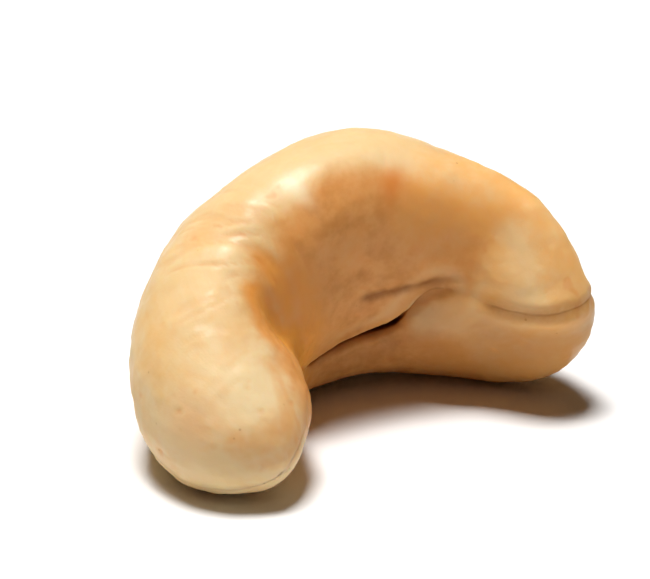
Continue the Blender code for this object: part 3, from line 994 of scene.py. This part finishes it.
pores = paint.noise(place_here, PORE_SCALE, detail=3.0, roughness=0.6)
fibres = paint.noise(paint.stretched(flow_here, FIBRE_STRETCH), FIBRE_SCALE, detail=3.0, roughness=0.6)
surface_height = pores * PORE_SHARE + fibres * FIBRE_SHARE * (1.0 - in_crook)
bump_values = {"Strength": BUMP_STRENGTH, "Distance": BUMP_HEIGHT, "Height": surface_height}
bump = paint.node("ShaderNodeBump", values=bump_values)
print("nodes so far:", len(skin_finish.node_tree.nodes))

# %% Finish the material
finish_values = {
    "Base Color": colour,
    "Roughness": roughness,
    "IOR": 1.46,
    "Specular IOR Level": 0.20,
    "Subsurface Weight": 0.50,
    "Subsurface Radius": (1.0, 0.55, 0.28),
    "Subsurface Scale": 1.5 * MM,
    "Coat Weight": coat,
    "Coat Roughness": 0.30,
    "Coat IOR": 1.47,
    "Normal": bump,
}
shader = paint.node("ShaderNodeBsdfPrincipled", {"subsurface_method": "RANDOM_WALK"}, finish_values)
paint.node("ShaderNodeOutputMaterial", values={"Surface": shader})
print("fried skin material:", len(skin_finish.node_tree.nodes), "nodes")

# %% [markdown]
# ## The finished skin
#
# The tree could stay on the object as a modifier. But an exported file holds plain triangles, so its
# result is taken once, as a mesh, and the modifier goes. The seed moves all noise to another place:
# another seed would give another nut of the same kind.

# %% Run the geometry tree on the copy
RELIEF_SEED = (31.0, 17.0, 5.0)

kernel = bpy.data.objects.new("kernel_fried", kernel_mesh)
bpy.context.scene.collection.objects.link(kernel)
modifier = kernel.modifiers.new("fried_relief", "NODES")
modifier.node_group = relief_tree
identifiers = {
    item.name: item.identifier
    for item in relief_tree.interface.items_tree
    if item.item_type == "SOCKET" and item.in_out == "INPUT"
}
for size_name, size in RELIEF_SIZES.items():
    modifier[identifiers[size_name]] = size
modifier[identifiers["Seed"]] = RELIEF_SEED
modifier[identifiers["Finish"]] = skin_finish
print("inputs of the modifier:", list(identifiers))

# %% Keep the result as a mesh
graph_view = bpy.context.evaluated_depsgraph_get()
finished_mesh = bpy.data.meshes.new_from_object(kernel.evaluated_get(graph_view), depsgraph=graph_view)
kernel.modifiers.remove(modifier)
kernel.data = finished_mesh
triangles = sum(len(face.vertices) - 2 for face in finished_mesh.polygons)
print("finished skin:", len(finished_mesh.vertices), "points,", triangles, "triangles")

# %% [markdown]
# ## Handing the skin to the frame
#
# The finished skin stands for the CAD solid, which stays hidden for collision, and moves with the
# part's only body.

# %% Attach the skin to the part
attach(kernel, "root")
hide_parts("kernel")
print("kernel_fried rides on root")

# %% [markdown]
# ## Floor and light
#
# The photograph is a bright picture on white, but the shadow under the nut is deep and warm. A big
# bright room would wash that shadow out. So one strong lamp hangs almost overhead, a little to the left
# and behind: it brightens the top of the nut and the white floor, and leaves the crook in shade. A very
# weak lamp from the front and dim warm surroundings keep that shade from going black.

# %% Lay the floor
FLOOR_SIZE = 1.2
PAPER = (0.90, 0.90, 0.90, 1.0)
PAPER_ROUGHNESS = 0.6

floor_mesh = bpy.data.meshes.new("floor")
half = FLOOR_SIZE / 2
corners = [(-half, -half, 0.0), (half, -half, 0.0), (half, half, 0.0), (-half, half, 0.0)]
floor_mesh.from_pydata(corners, [], [(0, 1, 2, 3)])
floor = bpy.data.objects.new("floor", floor_mesh)
bpy.context.scene.collection.objects.link(floor)
floor_finish = bpy.data.materials.new("pale_paper")
floor_finish.use_nodes = True
floor_shader = floor_finish.node_tree.nodes["Principled BSDF"]
floor_shader.inputs["Base Color"].default_value = PAPER
floor_shader.inputs["Roughness"].default_value = PAPER_ROUGHNESS
floor_mesh.materials.append(floor_finish)
print("floor:", FLOOR_SIZE, "m across")

# %% Hang the lamps
LAMPS = {
    "key": {"place": (-0.06, 0.085, 1.0), "size": 0.33, "power": 14.0, "tint": (1.0, 0.99, 0.975)},
    "fill": {"place": (-0.35, -0.55, 0.90), "size": 0.4, "power": 0.15, "tint": (1.0, 0.97, 0.90)},
}


def hang_lamp(name, place, size, power, tint):
    """Adds a square soft lamp that shines at the nut."""
    data = bpy.data.lights.new(name, "AREA")
    data.size = size
    data.energy = power
    data.color = tint
    lamp = bpy.data.objects.new(name, data)
    lamp.location = place
    lamp.rotation_euler = (Vector(place) - middle).to_track_quat("Z", "Y").to_euler()
    bpy.context.scene.collection.objects.link(lamp)


for lamp_name, lamp_values in LAMPS.items():
    hang_lamp(lamp_name, **lamp_values)
print("lamps:", list(LAMPS))

# %% Dim the surroundings and choose plain colours
SURROUNDINGS = (1.0, 0.85, 0.66, 1.0)
SURROUNDINGS_STRENGTH = 0.012

world = bpy.data.worlds.new("studio")
world.use_nodes = True
background = world.node_tree.nodes["Background"]
background.inputs["Color"].default_value = SURROUNDINGS
background.inputs["Strength"].default_value = SURROUNDINGS_STRENGTH
bpy.context.scene.world = world
bpy.context.scene.view_settings.view_transform = "Standard"
print("strength of the surroundings:", SURROUNDINGS_STRENGTH)
